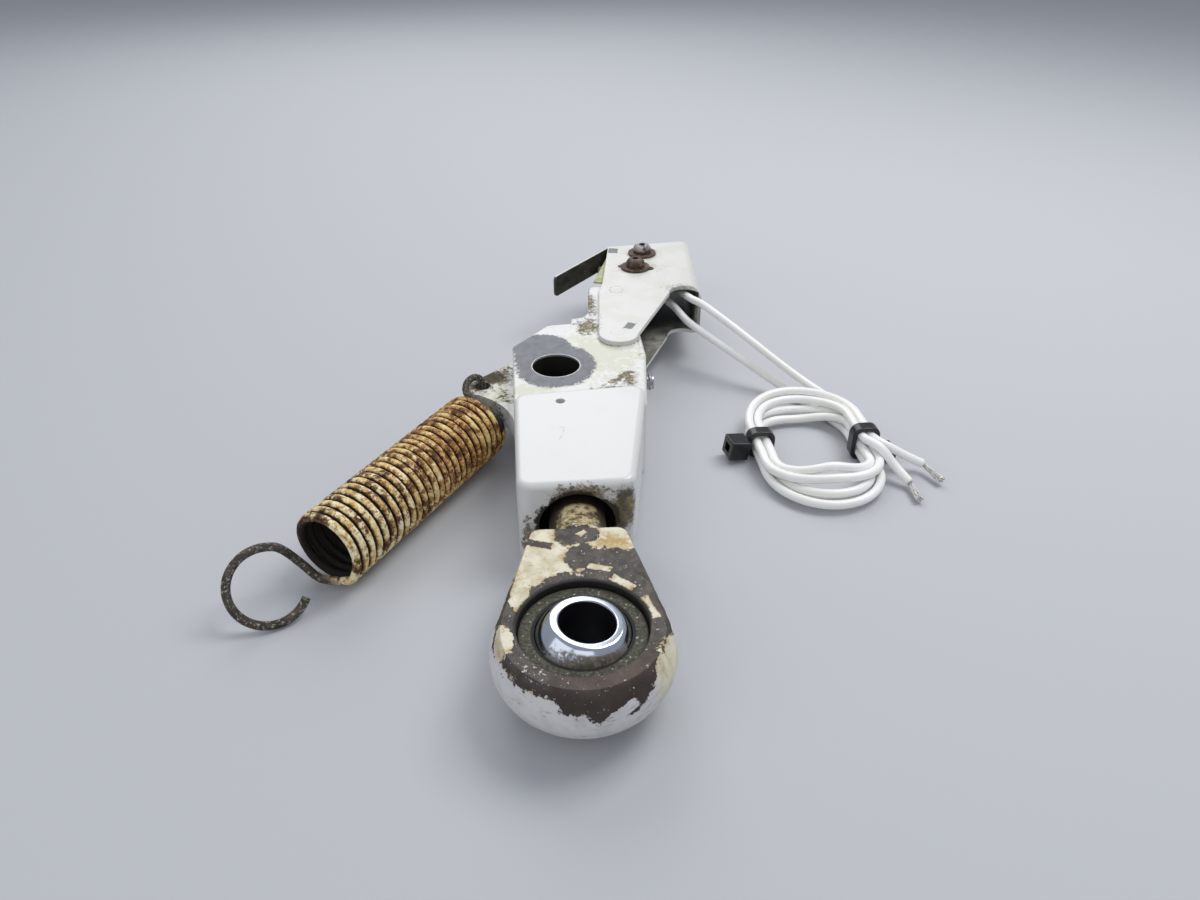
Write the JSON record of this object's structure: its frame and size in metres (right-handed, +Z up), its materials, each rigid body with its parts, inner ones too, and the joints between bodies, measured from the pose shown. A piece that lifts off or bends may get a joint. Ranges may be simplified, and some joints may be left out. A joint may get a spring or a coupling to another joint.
{
  "type": "aircraft bellcrank",
  "caption": "Forged bellcrank with a bushed pivot, a rod end with a spherical bearing, an extension return spring on an ear and a lever switch in a folded bracket with tied leads",
  "frame": {"origin": "on the axis of the pivot bore, at the lower end of the bushing, on the surface that the part rests on", "axes": "+Z up along the pivot bore, +Y from the rod end to the switch bracket, +X to the side that carries the leads"},
  "size_m": [0.127, 0.1474, 0.0194],
  "materials": {
    "white_paint": "gloss",
    "bushing": "satin",
    "fitting": "satin",
    "rod_end": "satin",
    "race": "satin",
    "ball": "polished",
    "spring": "satin",
    "switch": "matte",
    "insulator": "matte",
    "lever": "satin",
    "terminal": "satin",
    "screw": "satin",
    "lead": "gloss",
    "conductor": "satin",
    "tie": "satin"
  },
  "bodies": {
    "crank": {"crank_body": "white_paint", "pivot_bushing": "bushing", "grease_fitting": "fitting", "rod_end_body": "rod_end", "bearing_race": "race", "switch_bracket": "white_paint", "bracket_rivets": "white_paint", "switch_case": "switch", "switch_cover": "switch", "switch_insulator": "insulator", "lever_pin": "fitting", "switch_terminals": "terminal", "switch_screws": "screw", "screw_washers": "screw", "screw_nuts": "fitting", "lead_upper": "lead", "lead_lower": "lead", "lead_coil": "lead", "tail_upper": "lead", "tail_lower": "lead", "tip_upper": "conductor", "tip_lower": "conductor", "cable_tie_left": "tie", "cable_tie_right": "tie"},
    "ball": {"bearing_ball": "ball"},
    "spring": {"return_spring": "spring"},
    "lever": {"switch_lever": "lever"},
    "plunger": {"switch_plunger": "tie"}
  },
  "joints": [
    {"name": "ball_tilt", "type": "hinge", "parent": "crank", "child": "ball", "pos_m": [0, -0.0705, 0.0085], "axis": [0, 1, 0], "range_deg": [-18, 6]},
    {"name": "spring_swing", "type": "hinge", "parent": "crank", "child": "spring", "pos_m": [-0.015, 0.002, 0.0085], "axis": [0, 0, -1], "range_deg": [0, 40]},
    {"name": "lever_press", "type": "hinge", "parent": "crank", "child": "lever", "pos_m": [0.01751, 0.06272, 0.0136], "axis": [0, 0, 1], "range_deg": [0, 9], "stiffness_Nm_per_rad": 0.004},
    {"name": "plunger_slide", "type": "slide", "parent": "crank", "child": "plunger", "axis": [0.9548, -0.2974, 0], "range_m": [0, 0.00093]}
  ],
  "couplings": [
    {"joint": "plunger_slide", "follows": "lever_press", "m_per_rad": 0.005876}
  ]
}
